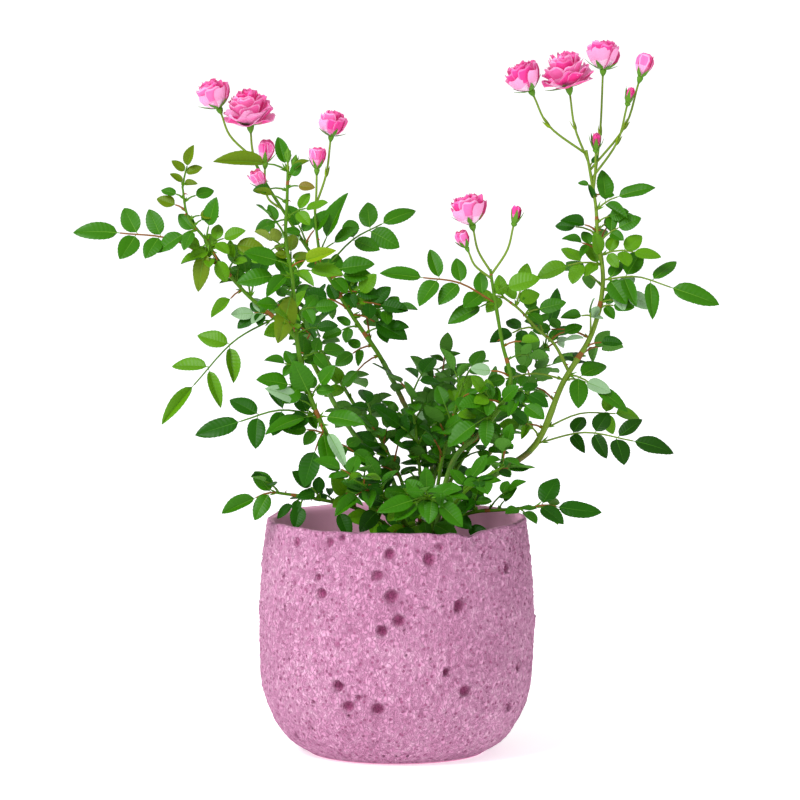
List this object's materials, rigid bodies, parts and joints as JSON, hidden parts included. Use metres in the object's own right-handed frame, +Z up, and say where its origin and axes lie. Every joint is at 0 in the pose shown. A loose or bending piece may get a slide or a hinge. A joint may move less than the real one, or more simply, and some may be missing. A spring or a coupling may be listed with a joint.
{
  "type": "miniature rose bush in a pot",
  "caption": "Small flowering rose bush with arching canes, compound leaves and trusses of pink blooms, growing in a round pitted pot with a flat underside.",
  "frame": {"origin": "centre of the pot's flat underside", "axes": "+Z up, +X to the right seen from the front, -Y towards the viewer in front of the bush"},
  "size_m": [0.3547, 0.2054, 0.3894],
  "materials": {
    "pot": "matte dusty pink cast stone, pitted and finely rough",
    "soil": "dark crumbly potting soil",
    "bark": "smooth green bark with reddish nodes and prickles",
    "leaf": "mid green leaves, slightly glossy above and paler below",
    "young_leaf": "young yellow-green leaves with a red tinge",
    "blossom": "soft pink petals, deeper in the heart and pale at the edge"
  },
  "bodies": {
    "root": {"back_centre_cane": "bark", "back_centre_leaves": "leaf", "back_left_cane": "bark", "back_left_leaves": "leaf", "back_right_cane": "bark", "back_right_leaves": "leaf", "bloom_cane": "bark", "bloom_cane_leaves": "leaf", "centre_cane": "bark", "centre_leaves": "leaf", "centre_truss": "blossom", "front_left_leaves": "leaf", "front_right_leaves": "leaf", "front_rim_leaves": "leaf", "heart_leaves_1": "leaf", "heart_leaves_2": "leaf", "heart_leaves_3": "leaf", "heart_leaves_4": "leaf", "heart_leaves_5": "leaf", "left_front_cane": "bark", "left_long_cane": "bark", "left_lower_leaves": "leaf", "left_middle_leaves": "young_leaf", "left_reaching_leaves": "leaf", "left_tip_leaves": "young_leaf", "left_top_leaves": "young_leaf", "left_truss": "blossom", "low_left_leaves": "leaf", "low_right_leaves": "leaf", "pot": "pot", "right_cane": "bark", "right_lower_leaves": "leaf", "right_truss": "blossom", "right_upper_leaves": "leaf", "root_crown": "bark", "soil": "soil"}
  },
  "joints": []
}
